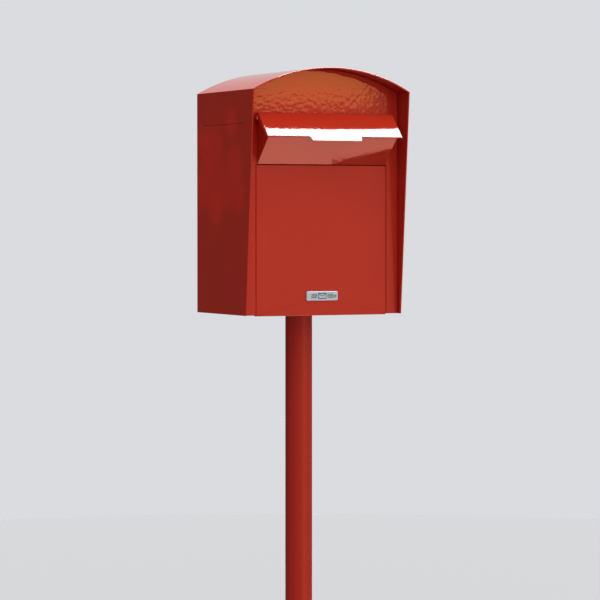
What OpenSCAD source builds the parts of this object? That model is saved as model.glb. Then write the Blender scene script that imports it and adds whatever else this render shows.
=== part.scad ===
// Post mailbox: an arched sheet steel case with a hooded letter flap, a top-hung door and a
// swivelling lock cover, on a round post with a base plate.
// Origin: centre of the base plate's underside, on the post axis. +Z up, the front faces -Y.

/* [Case] */
// Outer width of the case
case_w = 380; // [320:1:460]
// Height of the sides, from the case's underside to the eaves
case_h = 490; // [470:1:640]
// Rise of the roof's arch above the eaves
arch_rise = 50; // [30:1:80]
// Post axis to the outer face of the back
back_y = 132; // [110:1:180]
// Post axis to the outer face of the front
front_y = 118; // [100:1:150]
// How far the wings stand in front of the front at the case's underside
wing_bottom = 14; // [8:1:30]
// How far the wings stand in front of the front at the eaves
wing_top = 54; // [40:1:80]
// Sheet thickness of the case, the door and the flap
sheet = 1.5; // [1:0.1:2]
// Depth of the turned-down hem along the roof's front edge
hem = 5; // [3:0.5:8]
// Height of the pressed bead in the sides
bead_z = 415; // [380:1:440]
// Rear flange of the case back, against the sides
back_flange = 35; // [25:1:45]

/* [Letter chute and flap] */
// Half width of the chute, over its end plates
chute_half = 156; // [120:1:160]
// Height of the throat's lower edge above the door opening
throat_low = 8.5; // [6:0.5:20]
// Height of the throat
throat_h = 80; // [60:1:90]
// Flap pivot: distance in front of the front
pivot_out = 16; // [14:1:24]
// Flap pivot: height above the top of the door opening
pivot_up = 100.5; // [92:0.5:110]
// Outer radius of the flap's rolled top edge
roll_r = 11.5; // [9:0.5:13]
// Angle of the flap from the vertical
flap_angle = 43.6; // [35:0.1:50]
// Gap between the chute's nose and the flap's outer face
lip_gap = 9; // [8:0.1:12]
// How far the flap's nose passes the chute's nose
flap_past = 7.9; // [4:0.1:14]
// How far the flap's ends stand outside the chute's ends
flap_over = 8; // [6:0.5:12]
// Width of the flap's turned ends
ear_w = 10; // [8:0.5:16]
// Length of the finger tab below the nose
tab_len = 13; // [8:0.5:20]
// Half width of the finger tab at the nose
tab_half = 62; // [40:1:80]
// Radius of the flap pin
pin_r = 3; // [2.5:0.1:4]

/* [Door] */
// Half width of the door
door_half = 158; // [120:1:160]
// Height of the door opening above the case's underside
opening_h = 329.5; // [300:0.5:340]
// Gap between the door and the front beside it
door_gap = 1.5; // [1:0.1:2.5]
// How far the door's foot hangs below the case's underside
door_drop = 2; // [1:0.5:4]
// Depth of the door's turned edges
door_depth = 12; // [10:0.5:16]
// Radius of the door's pivot pins
door_pin_r = 2.5; // [2:0.1:3.5]

/* [Lock] */
// Height of the lock above the case's underside
lock_z = 41; // [38:1:60]
// Radius of the lock's barrel
barrel_r = 8; // [7:0.5:9]
// Radius of the turning plug
plug_r = 5.5; // [4.5:0.1:6]
// Length of the cam, from the lock's axis to its tip
cam_len = 32; // [28:1:36]
// Width of the swivelling lock cover
cover_w = 76.5; // [60:0.5:100]
// Height of the swivelling lock cover
cover_h = 20.5; // [20:0.5:30]

/* [Post] */
// Height of the case's underside above the ground
case_z = 800; // [600:1:1200]
// Outer radius of the post
post_r = 30; // [24:0.5:40]
// Wall of the post
post_wall = 2; // [1.5:0.1:4]
// Side of the square base plate
base_w = 240; // [200:1:320]
// Thickness of the base plate
base_t = 8; // [5:0.5:12]
// Spacing of the anchor holes along each side of the base plate
anchor_s = 190; // [150:1:260]
// Radius of the anchor holes
anchor_r = 6; // [5:0.5:9]

/* [Hidden] */
$fn = 96;

red = [0.64, 0.17, 0.12];
dark_red = [0.50, 0.12, 0.10];
zinc = [0.72, 0.73, 0.74];
rubber = [0.09, 0.09, 0.09];
nylon = [0.85, 0.85, 0.82];
plate = [0.66, 0.72, 0.77];

// Overshoot of the cuts
cut = 1;

// Case
half_in = case_w / 2 - sheet;
arch_r = (pow(case_w / 2, 2) + pow(arch_rise, 2)) / (2 * arch_rise);
arch_zc = case_h + arch_rise - arch_r;
frame_back = -front_y + sheet;
stop_y = -front_y + door_depth + 1.5;
lip_w = 11;
seal_t = 1.1;
return_w = 15;
bead_h = 2.4;
bead_depth = 0.9;
bead_back = 1;
bead_front = -front_y - cut;
bead_rise = frame_back + return_w + 1;
bead_rear = back_y - back_flange - 4;
rivet_y = back_y - 20;
rivet_r = 2.4;
rivet_head_r = 4.5;
rivet_head_t = 1.2;
tail_t = 1.5;
corner_gap = 10;

// Flap and chute, as points (y, z) with z above the case's underside. The chute's floor rises at
// 45 degrees from the door opening until it is lip_gap short of the flap's plane, and the flap ends
// flap_past beyond it.
pivot = [-front_y - pivot_out, opening_h + pivot_up];
down = [-sin(flap_angle), -cos(flap_angle)];
out = [-cos(flap_angle), sin(flap_angle)];
flap_top = pivot + roll_r * out;
chute_foot = [-front_y, opening_h];
chute_reach = ((flap_top - chute_foot) * out - lip_gap) / (cos(flap_angle) + sin(flap_angle));
chute_nose = chute_foot + chute_reach * [-1, 1];
chute_lip = 12;
flap_len = (chute_nose - flap_top) * down + flap_past;
flap_nose = flap_top + flap_len * down;
flap_half = chute_half + flap_over;
cheek_drop = 18;
cheek_neck = [3, -13];
boss_r = 8;
tab_taper = 6;
tab_chamfer = 2.5;
pin_clear = 0.06;
pin_head_t = 2;
throat_half = chute_half - 11;
bumper_x = chute_half - 36;
bumper_r = 5;
rest_gap = 0.3;
baffle_half = throat_half;
baffle_drop = 55;
baffle_top = opening_h + throat_low + throat_h + 2;
baffle_flange = 20;
baffle_z = baffle_top + baffle_flange / 2;
baffle_rivet_r = 2;

// Door, hung on two pins near its top corners
door_top = opening_h - 3.5;
bush_r = 3.6;
bush_end = 4.5;
bush_flange = 0.8;
bush_clear = 0.1;
pin_flange = 1;
door_axis = [-front_y + sheet + bush_clear + bush_r + bush_flange, door_top - sheet - pin_flange - door_pin_r];
stop_short = 13;
sill_top = 24;
sill_y = stop_y;

// Lock
head_front = -front_y - 1.5;
plug_clear = 0.08;
nut_t = 4;
nut_wall = 4;
shank = 3.5;
key_slot = [3.2, 8, 0.7];
cam_screw_r = 1.9;
barrel_end = stop_y + 2.5;
cam_y = barrel_end + 0.5;
cam_t = 2;
cam_w = 14;
cam_screw_in = 5;
keeper_t = 1.2;
keeper_half = 28;
keeper_low = 8;
keeper_top = sill_top - 2;
keeper_x = 20;
keeper_z = (keeper_low + keeper_top) / 2;
keeper_r = 1.5;
cover_face = head_front - 1.9;
cover_t = 1.2;
cover_rim = -front_y - 0.4;
cover_pivot = cover_w / 2 - 7.25;
cover_rivet_r = 1.5;

// Post
post_head_t = 10;
screw_s = 26;
screw_r = 4;
screw_hole_r = screw_r + 0.5;
bolt_head_h = 5.3;
bolt_head_r = 7.2;
doubler_w = 120;
doubler_t = 3;
washer_t = 1.5;

// A flat plate drawn in (y, z), from x0 to x0 + t
module yz_plate(points, x0, t) {
    translate([x0, 0, 0]) rotate([90, 0, 90]) linear_extrude(t) polygon(points);
}

// A box given by its lowest and highest corners
module span(a, b) {
    translate(a) cube(b - a);
}

module both_sides() {
    children();
    mirror([1, 0, 0]) children();
}

// A round bar along X, Y or Z
module bar_x(x0, x1, y, z, r) {
    translate([x0, y, z]) rotate([0, 90, 0]) cylinder(r = r, h = x1 - x0);
}
module bar_y(y0, y1, x, z, r) {
    translate([x, y0, z]) rotate([-90, 0, 0]) cylinder(r = r, h = y1 - y0);
}

module at_case() {
    translate([0, 0, case_z]) children();
}

// Everything below the roof's arch of radius r
module under_arch(r) {
    intersection() {
        children();
        translate([0, -2 * case_w, arch_zc]) rotate([-90, 0, 0]) cylinder(r = r, h = 4 * case_w, $fn = 360);
    }
}

module side_sheet() {
    outline = [[-front_y - wing_bottom, 0], [back_y, 0], [back_y, case_h], [-front_y - wing_top, case_h]];
    under_arch(arch_r - sheet) difference() {
        union() {
            yz_plate(outline, half_in, sheet);
            span([half_in - bead_back, bead_rise, bead_z - bead_back], [half_in, bead_rear, bead_z + bead_h + bead_back]);
        }
        span([case_w / 2 - bead_depth, bead_front, bead_z], [case_w / 2 + cut, bead_rear, bead_z + bead_h]);
        bar_x(half_in - 2 * cut, case_w / 2 + cut, rivet_y, bead_z + bead_h / 2, rivet_r);
    }
}
module right_side_panel() {
    color(red) at_case() side_sheet();
}
module left_side_panel() {
    color(red) at_case() mirror([1, 0, 0]) side_sheet();
}

module arch_shell(y0, y1, depth) {
    intersection() {
        translate([0, y0, arch_zc]) rotate([-90, 0, 0]) difference() {
            cylinder(r = arch_r, h = y1 - y0, $fn = 360);
            translate([0, 0, -cut]) cylinder(r = arch_r - depth, h = y1 - y0 + 2 * cut, $fn = 360);
        }
        span([-case_w / 2, y0, case_h - hem], [case_w / 2, y1, case_h + arch_rise + cut]);
    }
}
module roof() {
    color(red) at_case() union() {
        arch_shell(-front_y - wing_top, back_y, sheet);
        intersection() {
            arch_shell(-front_y - wing_top, -front_y - wing_top + sheet, hem);
            span([-half_in, -front_y - wing_top, 0], [half_in, back_y, 2 * case_h]);
        }
    }
}

module back_panel() {
    color(red) at_case() difference() {
        union() {
            under_arch(arch_r - sheet)
                span([-half_in, back_y - sheet, 0], [half_in, back_y, case_h + arch_rise]);
            both_sides() span([half_in - sheet, back_y - back_flange, return_w + 2],
                              [half_in, back_y - sheet, case_h - 2 * corner_gap]);
        }
        bar_x(-case_w, case_w, rivet_y, bead_z + bead_h / 2, rivet_r);
    }
}

module floor_panel() {
    color(red) at_case() difference() {
        union() {
            span([-half_in, stop_y + sheet, 0], [half_in, back_y - sheet, sheet]);
            span([-door_half + lip_w, sill_y, 0], [door_half - lip_w, sill_y + sheet, sill_top]);
            both_sides() span([half_in - sheet, stop_y + return_w, 0], [half_in, back_y - sheet, return_w]);
            span([-half_in, back_y - 2 * sheet, 0], [half_in, back_y - sheet, return_w]);
        }
        screw_places() translate([0, 0, -cut]) cylinder(r = screw_hole_r, h = sheet + 2 * cut);
        both_sides() bar_y(sill_y - cut, sill_y + sheet + cut, keeper_x, keeper_z, keeper_r);
    }
}

// Front: two stiles beside the door and the arched panel above it, in one sheet
module front_frame() {
    side = door_half + door_gap;
    color(red) at_case() difference() {
        union() {
            under_arch(arch_r - sheet) difference() {
                span([-half_in, -front_y, 0], [half_in, frame_back, case_h + arch_rise]);
                span([-side, -front_y - cut, -cut], [side, frame_back + cut, opening_h]);
                throat();
            }
            both_sides() {
                span([side, frame_back, 0], [side + sheet, stop_y + sheet, opening_h + sheet]);
                span([side - lip_w + door_gap, stop_y, 0], [side + sheet, stop_y + sheet, door_axis[1] - stop_short]);
                span([half_in - sheet, frame_back, sheet], [half_in, frame_back + return_w, case_h - corner_gap]);
            }
            span([-side, frame_back, opening_h], [side, stop_y + sheet, opening_h + sheet]);
        }
        bar_x(-case_w, case_w, door_axis[0], door_axis[1], bush_r);
        both_sides() bar_y(-front_y - cut, frame_back + cut, bumper_x, baffle_z, baffle_rivet_r);
    }
}
module throat() {
    low = opening_h + throat_low;
    corner = 8;
    translate([0, frame_back + cut, 0]) rotate([90, 0, 0]) linear_extrude(sheet + 2 * cut) union() {
        translate([-throat_half + corner, low]) square([2 * (throat_half - corner), throat_h]);
        translate([-throat_half, low + corner]) square([2 * throat_half, throat_h - 2 * corner]);
        for (x = [-1, 1], z = [corner, throat_h - corner])
            translate([x * (throat_half - corner), low + z]) circle(r = corner);
    }
}

// Chute: a folded trough below the flap, with an end plate at each end that carries the flap pin
module letter_chute() {
    up = -down;
    rise = [1, 1] / sqrt(2);
    fold = chute_nose + chute_lip * up;
    bend = chute_nose + sheet * (rise - out) / (1 - rise * out);
    trough = [chute_foot, chute_nose, fold, fold - sheet * out, bend, chute_foot + [0, sqrt(2) * sheet]];
    cheek_top = pivot[1] - cheek_drop;
    end_plate = [chute_foot, chute_nose, pivot + boss_r * out, pivot, pivot + cheek_neck, [-front_y, cheek_top]];
    color(red) at_case() difference() {
        union() {
            yz_plate(trough, -chute_half, 2 * chute_half);
            both_sides() {
                yz_plate(end_plate, chute_half - sheet, sheet);
                bar_x(chute_half - sheet, chute_half, pivot[0], pivot[1], boss_r);
                span([throat_half, -front_y - sheet, opening_h + throat_low],
                     [chute_half, -front_y, cheek_top]);
            }
        }
        bar_x(-case_w, case_w, pivot[0], pivot[1], pin_r + pin_clear);
    }
}

module chute_baffle() {
    top = baffle_top;
    foot = [frame_back + baffle_drop, top - baffle_drop];
    skew = sheet / sqrt(2);
    profile = [[frame_back, top + baffle_flange], [frame_back, top], foot, foot + [skew, skew],
               [frame_back + sheet, top + sheet * (sqrt(2) - 1)], [frame_back + sheet, top + baffle_flange]];
    color(dark_red) at_case() difference() {
        yz_plate(profile, -baffle_half, 2 * baffle_half);
        both_sides() bar_y(frame_back - cut, frame_back + sheet + cut, bumper_x, baffle_z, baffle_rivet_r);
    }
}
module baffle_rivets() {
    color(dark_red) at_case() both_sides() union() {
        bar_y(-front_y - 1, frame_back + sheet + tail_t, bumper_x, baffle_z, baffle_rivet_r);
        bar_y(-front_y - 1, -front_y, bumper_x, baffle_z, 2 * baffle_rivet_r);
        bar_y(frame_back + sheet, frame_back + sheet + tail_t, bumper_x, baffle_z, 1.75 * baffle_rivet_r);
    }
}
module side_rivets() {
    z = bead_z + bead_h / 2;
    color(zinc) at_case() both_sides() union() {
        bar_x(half_in - sheet - tail_t, case_w / 2 + rivet_head_t, rivet_y, z, rivet_r);
        bar_x(case_w / 2, case_w / 2 + rivet_head_t, rivet_y, z, rivet_head_r);
        bar_x(half_in - sheet - tail_t, half_in - sheet, rivet_y, z, rivet_head_r - 0.7);
    }
}

// Flap: a flat with a rolled top edge, turned ends and a finger tab
module letter_flap() {
    in = -sheet * out;
    ear_in = -ear_w * out;
    flat = [flap_top, flap_nose, flap_nose + in, flap_top + in];
    ear = [pivot, flap_top, flap_nose, flap_nose + 0.4 * ear_in, flap_top + 0.6 * flap_len * down + ear_in,
           flap_top + 0.2 * flap_len * down + 1.4 * ear_in];
    far = 3 * roll_r;
    roll_open = [pivot, pivot + far * [1, 0], pivot + far * [0.5, -1], pivot + 2 * far * down, pivot + far * out];
    color(red) at_case() difference() {
        union() {
            yz_plate(flat, -flap_half, 2 * flap_half);
            both_sides() {
                yz_plate(ear, flap_half - sheet, sheet);
                bar_x(flap_half - sheet, flap_half, pivot[0], pivot[1], roll_r);
            }
            difference() {
                bar_x(-flap_half, flap_half, pivot[0], pivot[1], roll_r);
                bar_x(-flap_half - cut, flap_half + cut, pivot[0], pivot[1], roll_r - sheet);
                yz_plate(roll_open, -flap_half - cut, 2 * (flap_half + cut));
            }
            finger_tab();
        }
        bar_x(-case_w, case_w, pivot[0], pivot[1], pin_r);
    }
}
module finger_tab() {
    low_half = tab_half - tab_taper;
    outline = [[-tab_half, -1], [tab_half, -1], [low_half + tab_chamfer, tab_len - tab_chamfer], [low_half, tab_len],
               [-low_half, tab_len], [-low_half - tab_chamfer, tab_len - tab_chamfer]];
    translate([0, flap_nose[0], flap_nose[1]]) rotate([270 - flap_angle, 0, 0])
        linear_extrude(sheet) polygon(outline);
}
module flap_pin() {
    color(zinc) at_case() union() {
        bar_x(-flap_half - pin_head_t, flap_half + pin_head_t, pivot[0], pivot[1], pin_r);
        both_sides() bar_x(flap_half, flap_half + pin_head_t, pivot[0], pivot[1], pin_r + 1.5);
    }
}
module flap_spacers() {
    color(nylon) at_case() both_sides() difference() {
        bar_x(chute_half, flap_half - sheet - rest_gap, pivot[0], pivot[1], pin_r + 2.5);
        bar_x(chute_half - cut, flap_half, pivot[0], pivot[1], pin_r + pin_clear);
    }
}
module flap_bumpers() {
    centre = chute_nose - 0.5 * chute_lip * down;
    color(rubber) at_case() both_sides() translate([bumper_x, centre[0], centre[1]])
        rotate([90 - flap_angle, 0, 0]) cylinder(r = bumper_r, h = lip_gap - sheet - rest_gap);
}

// Door: a pan with turned edges, hung on a pin at each top corner
module door_panel() {
    edge = -front_y + door_depth;
    color(red) at_case() difference() {
        union() {
            span([-door_half, -front_y, -door_drop], [door_half, frame_back, door_top]);
            both_sides() span([door_half - sheet, frame_back, -door_drop], [door_half, edge, door_top]);
            span([-door_half, frame_back, -door_drop], [door_half, edge, -door_drop + sheet]);
            span([-door_half, frame_back, door_top - sheet], [door_half, edge - 2, door_top]);
        }
        bar_x(-case_w, case_w, door_axis[0], door_axis[1], door_pin_r);
        bar_y(-front_y - cut, frame_back + cut, 0, lock_z, barrel_r);
        bar_y(-front_y - cut, frame_back + cut, cover_pivot, lock_z, cover_rivet_r);
    }
}
module door_stiffener() {
    z = (door_top + lock_z) / 2;
    half = door_half - 8;
    rise = 8;
    t = 1.2;
    crown = 12;
    foot = 20;
    top = frame_back + rise;
    half_hat = [[frame_back, foot], [frame_back + t, foot], [frame_back + t, crown], [top, crown]];
    half_in_hat = [[frame_back, crown - t], [top - t, crown - t]];
    flip = [[1, 0], [0, -1]];
    hat = concat(half_hat, [for (i = [3:-1:0]) half_hat[i] * flip],
                 [for (p = half_in_hat) p * flip], [half_in_hat[1], half_in_hat[0]]);
    color(dark_red) at_case() translate([0, 0, z]) yz_plate(hat, -half, 2 * half);
}
module door_pins() {
    far = door_half + door_gap + sheet + bush_end - 1;
    color(zinc) at_case() both_sides() union() {
        bar_x(door_half - sheet - 2, far, door_axis[0], door_axis[1], door_pin_r);
        bar_x(door_half - sheet - 2, door_half - sheet, door_axis[0], door_axis[1], door_pin_r + pin_flange);
    }
}
module door_bushes() {
    inside = door_half + door_gap;
    color(nylon) at_case() both_sides() difference() {
        union() {
            bar_x(inside, inside + sheet + bush_end, door_axis[0], door_axis[1], bush_r);
            bar_x(inside + sheet, inside + 2 * sheet, door_axis[0], door_axis[1], bush_r + bush_flange);
        }
        bar_x(inside - cut, inside + sheet + bush_end + cut, door_axis[0], door_axis[1], door_pin_r + pin_clear);
    }
}
module door_seal() {
    side_z = door_axis[1] - stop_short - 2;
    color(rubber) at_case() union() {
        both_sides() span([door_half - 7, stop_y - seal_t, 1], [door_half + 1, stop_y, side_z]);
        span([-door_half + lip_w, stop_y - seal_t, 6], [door_half - lip_w, stop_y, 14]);
    }
}

// Lock: a threaded barrel in the door, a turning plug, and a cam that swings down behind the sill
module lock_body() {
    color(zinc) at_case() difference() {
        union() {
            bar_y(head_front, barrel_end, 0, lock_z, barrel_r);
            bar_y(head_front, -front_y, 0, lock_z, barrel_r + 1);
        }
        bar_y(head_front - cut, barrel_end + cut, 0, lock_z, plug_r + plug_clear);
    }
}
module lock_nut() {
    color(zinc) at_case() difference() {
        translate([0, frame_back, lock_z]) rotate([-90, 0, 0]) cylinder(r = barrel_r + nut_wall, h = nut_t, $fn = 6);
        bar_y(frame_back - cut, frame_back + nut_t + cut, 0, lock_z, barrel_r);
    }
}
module lock_plug() {
    color(zinc) at_case() difference() {
        union() {
            bar_y(head_front - 0.2, cam_y, 0, lock_z, plug_r);
            square_shank(0);
        }
        span([-key_slot[0], head_front - cut, lock_z - key_slot[2]], [key_slot[0], head_front + key_slot[1], lock_z + key_slot[2]]);
        bar_y(cam_y - cam_screw_in, cam_y + cam_t + cut, 0, lock_z, cam_screw_r);
    }
}
module square_shank(over) {
    span([-shank, cam_y - over, lock_z - shank], [shank, cam_y + cam_t + over, lock_z + shank]);
}
module lock_cam() {
    color(zinc) at_case() difference() {
        union() {
            bar_y(cam_y, cam_y + cam_t, 0, lock_z, cam_w / 2);
            span([0, cam_y, lock_z - cam_w / 2], [cam_len, cam_y + cam_t, lock_z + cam_w / 2]);
        }
        square_shank(cut);
    }
}
module cam_screw() {
    color(zinc) at_case() union() {
        bar_y(cam_y - cam_screw_in, cam_y + cam_t, 0, lock_z, cam_screw_r);
        bar_y(cam_y + cam_t, cam_y + cam_t + 2.6, 0, lock_z, plug_r);
    }
}
module lock_keeper() {
    y0 = sill_y + sheet;
    color(zinc) at_case() difference() {
        span([-keeper_half, y0, keeper_low], [keeper_half, y0 + keeper_t, keeper_top]);
        both_sides() bar_y(y0 - cut, y0 + keeper_t + cut, keeper_x, keeper_z, keeper_r);
    }
}
module keeper_rivets() {
    color(zinc) at_case() both_sides() bar_y(sill_y, sill_y + sheet + keeper_t, keeper_x, keeper_z, keeper_r);
}
module lock_cover() {
    low = lock_z - cover_h / 2;
    high = lock_z + cover_h / 2;
    half = cover_w / 2;
    corner = 3;
    color(plate) at_case() difference() {
        union() {
            translate([0, cover_face + cover_t, 0]) rotate([90, 0, 0]) linear_extrude(cover_t) union() {
                translate([-half, low + corner]) square([cover_w, cover_h - 2 * corner]);
                translate([-half + corner, low]) square([cover_w - 2 * corner, cover_h]);
                for (x = [-1, 1], z = [low + corner, high - corner])
                    translate([x * (half - corner), z]) circle(r = corner);
            }
            span([-half + corner, cover_face, high - 1], [half - corner, cover_rim, high]);
            both_sides() span([half - 1, cover_face, low + corner], [half, cover_rim, high - corner]);
        }
        bar_y(cover_face - cut, cover_rim, cover_pivot, lock_z, cover_rivet_r + pin_clear);
    }
}
module cover_rivet() {
    color(zinc) at_case() union() {
        bar_y(cover_face - 1, frame_back + 1.2, cover_pivot, lock_z, cover_rivet_r);
        bar_y(cover_face - 1, cover_face, cover_pivot, lock_z, 3);
        bar_y(cover_face + cover_t + 0.1, -front_y, cover_pivot, lock_z, 3.2);
        bar_y(frame_back, frame_back + 1.2, cover_pivot, lock_z, 3);
    }
}

// Post and its joint with the case
module screw_places() {
    for (x = [-1, 1], y = [-1, 1]) translate([x * screw_s / 2, y * screw_s / 2, 0]) children();
}
module floor_doubler() {
    color(zinc) at_case() difference() {
        translate([-doubler_w / 2, -doubler_w / 2, sheet]) cube([doubler_w, doubler_w, doubler_t]);
        screw_places() cylinder(r = screw_hole_r, h = sheet + doubler_t + cut);
    }
}
module mount_washers() {
    color(zinc) at_case() screw_places() translate([0, 0, sheet + doubler_t]) difference() {
        cylinder(r = 2 * screw_r, h = washer_t);
        translate([0, 0, -cut]) cylinder(r = screw_r + 0.2, h = washer_t + 2 * cut);
    }
}
module mount_screws() {
    seat = sheet + doubler_t + washer_t;
    color(zinc) at_case() screw_places() union() {
        translate([0, 0, 1 - post_head_t]) cylinder(r = screw_r, h = seat + post_head_t - 1);
        translate([0, 0, seat]) cylinder(r = bolt_head_r, h = bolt_head_h, $fn = 6);
    }
}
module post_head() {
    color(zinc) at_case() difference() {
        translate([0, 0, -post_head_t]) cylinder(r = post_r - post_wall, h = post_head_t);
        screw_places() translate([0, 0, -post_head_t - cut]) cylinder(r = screw_r + 0.05, h = post_head_t + 2 * cut);
    }
}
module post_tube() {
    color(red) translate([0, 0, base_t]) difference() {
        cylinder(r = post_r, h = case_z - base_t);
        translate([0, 0, -cut]) cylinder(r = post_r - post_wall, h = case_z);
    }
}
module base_plate() {
    corner = 12;
    in = base_w / 2 - corner;
    color(red) difference() {
        union() {
            translate([-base_w / 2, -in, 0]) cube([base_w, 2 * in, base_t]);
            translate([-in, -base_w / 2, 0]) cube([2 * in, base_w, base_t]);
            for (x = [-in, in], y = [-in, in]) translate([x, y, 0]) cylinder(r = corner, h = base_t);
        }
        for (x = [-1, 1], y = [-1, 1]) translate([x * anchor_s / 2, y * anchor_s / 2, -cut])
            cylinder(r = anchor_r, h = base_t + 2 * cut);
    }
}

left_side_panel();
right_side_panel();
roof();
back_panel();
floor_panel();
front_frame();
letter_chute();
chute_baffle();
baffle_rivets();
side_rivets();
letter_flap();
flap_pin();
flap_spacers();
flap_bumpers();
door_panel();
door_stiffener();
door_pins();
door_bushes();
door_seal();
lock_body();
lock_nut();
lock_plug();
lock_cam();
cam_screw();
lock_keeper();
keeper_rivets();
lock_cover();
cover_rivet();
floor_doubler();
mount_screws();
mount_washers();
post_head();
post_tube();
base_plate();
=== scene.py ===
# %% [markdown]
# # A post mailbox in glossy red powder coat
#
# The real object is a box of folded 1.5 mm steel sheet on a round post: two sides that stand
# forward as wings, an arched roof, a top-hung door, a letter flap over a chute, and a small lock
# cover. All the steel is powder coated in one gloss red. The look rests on three things: crisp
# folds with a small round on every bend, a coat like a mirror with a faint orange peel, and a
# bright card above that the tilted flap reflects as a white band.
#
# The frame comes first. Places are worked out from it, or from the named sizes of each cell.

import bmesh
import bpy
import numpy as np
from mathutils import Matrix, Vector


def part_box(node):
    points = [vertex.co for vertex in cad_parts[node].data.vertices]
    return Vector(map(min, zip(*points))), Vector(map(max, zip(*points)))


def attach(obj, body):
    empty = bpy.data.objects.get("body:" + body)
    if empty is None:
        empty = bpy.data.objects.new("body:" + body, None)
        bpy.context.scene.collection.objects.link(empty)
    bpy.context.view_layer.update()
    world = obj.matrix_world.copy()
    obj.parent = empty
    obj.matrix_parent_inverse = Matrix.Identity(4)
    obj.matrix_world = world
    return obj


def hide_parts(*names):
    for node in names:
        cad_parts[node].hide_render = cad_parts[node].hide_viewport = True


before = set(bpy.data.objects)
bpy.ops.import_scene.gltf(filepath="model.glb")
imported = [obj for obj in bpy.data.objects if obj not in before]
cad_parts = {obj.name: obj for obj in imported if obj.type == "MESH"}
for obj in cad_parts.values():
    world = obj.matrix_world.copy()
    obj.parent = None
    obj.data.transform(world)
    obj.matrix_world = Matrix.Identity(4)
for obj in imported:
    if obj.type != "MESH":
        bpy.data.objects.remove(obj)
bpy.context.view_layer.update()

# %% [markdown]
# ## Millimetres
#
# Sheet metal is drawn in millimetres, so the shapes are too, and one helper turns them to metres
# when a mesh is made. The frame's boxes give the driving sizes: the case, the door, the flap's
# pin, the post.

# %% Sizes from the frame
MM = 0.001
SHEET = 1.5  # thickness of the folded steel
EDGE = 0.35  # round on a cut edge
GUARD = 0.3  # from the end of a round to the guard beside it


def box_mm(node):
    """Lowest and highest corner of a CAD node, in millimetres."""
    low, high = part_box(node)
    return np.round(np.array(low) / MM, 3), np.round(np.array(high) / MM, 3)


side_low, side_high = box_mm("right_side_panel")
roof_low, roof_high = box_mm("roof")
door_low, door_high = box_mm("door_panel")
_, chute_high = box_mm("letter_chute")
_, flap_high = box_mm("letter_flap")
pin_low, pin_high = box_mm("flap_pin")
post_low, post_high = box_mm("post_tube")
_, base_high = box_mm("base_plate")
cover_low, cover_high = box_mm("lock_cover")
rivet_low, rivet_high = box_mm("side_rivets")

case_half = side_high[0]
inner_half = case_half - SHEET
case_bottom = side_low[2]
front_y = door_low[1]
back_y = side_high[1]
roof_front = roof_low[1]
eaves = 1290.0  # where the roof comes down to the sides
arch_rise = roof_high[2] - eaves
arch_r = (case_half**2 + arch_rise**2) / (2 * arch_rise)
arch_centre = roof_high[2] - arch_r
print(f"case {2 * case_half:.1f} wide, arch radius {arch_r:.1f}, front at y = {front_y:.1f} mm")

# %% [markdown]
# ## Outlines with round corners
#
# A folded sheet has no sharp corner: the outside of a bend is an arc, and even a cut edge is
# rounded by the paint. Blender's Bevel modifier could round them, but it needs clean edges and
# leaves its size to guesswork. Here a corner is worked out as an arc of a given radius instead,
# with one extra point on each side of it, the guard, which keeps the flat beside it truly flat
# when it is shaded smooth.

# %% Rounded outlines


def unit(vectors):
    """Each vector divided by its length."""
    return vectors / np.linalg.norm(vectors, axis=-1, keepdims=True)


def rounded(corners, radius, steps=6, guard=GUARD):
    """A closed outline with an arc for each corner. The arc's centre lies on the corner's bisector,
    at radius over the sine of half the corner's angle, and the arc swings from the one tangent
    point to the other. The outline comes back anticlockwise."""
    corner = np.asarray(corners, float)
    r = np.broadcast_to(np.asarray(radius, float), len(corner))
    last, following = np.roll(corner, 1, axis=0), np.roll(corner, -1, axis=0)
    if np.sum(corner[:, 0] * following[:, 1] - corner[:, 1] * following[:, 0]) < 0:
        return rounded(corner[::-1], r[::-1], steps, guard)
    back, ahead = unit(last - corner), unit(following - corner)
    half = 0.5 * np.arccos(np.clip(np.sum(back * ahead, axis=1), -1, 1))
    trim = (r / np.tan(half))[:, None]
    centre = corner + unit(back + ahead) * (r / np.sin(half))[:, None]
    start, end = corner + back * trim - centre, corner + ahead * trim - centre
    turn = (np.pi - 2 * half)[:, None, None]
    t = np.linspace(0, 1, steps + 1)[None, :, None]
    arc = (np.sin((1 - t) * turn) * start[:, None] + np.sin(t * turn) * end[:, None]) / np.sin(turn)
    arc = arc + centre[:, None]
    before, after = corner + back * (trim + guard), corner + ahead * (trim + guard)
    return np.concatenate([before[:, None], arc, after[:, None]], axis=1).reshape(-1, 2)


def rectangle(half, low, high):
    """The corners of a rectangle centred on x = 0, anticlockwise from the lower left one."""
    return [(-half, low), (half, low), (half, high), (-half, high)]


def circle(centre, radius, steps=48):
    """A closed round outline."""
    a = np.linspace(0, 2 * np.pi, steps, endpoint=False)
    return np.stack([centre[0] + radius * np.cos(a), centre[1] + radius * np.sin(a)], axis=1)


def outward(outline):
    """The direction out of an anticlockwise outline at each point: the line between its two
    neighbours, turned a quarter turn clockwise."""
    along = unit(np.roll(outline, -1, axis=0) - np.roll(outline, 1, axis=0))
    return np.stack([along[:, 1], -along[:, 0]], axis=1)


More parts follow.
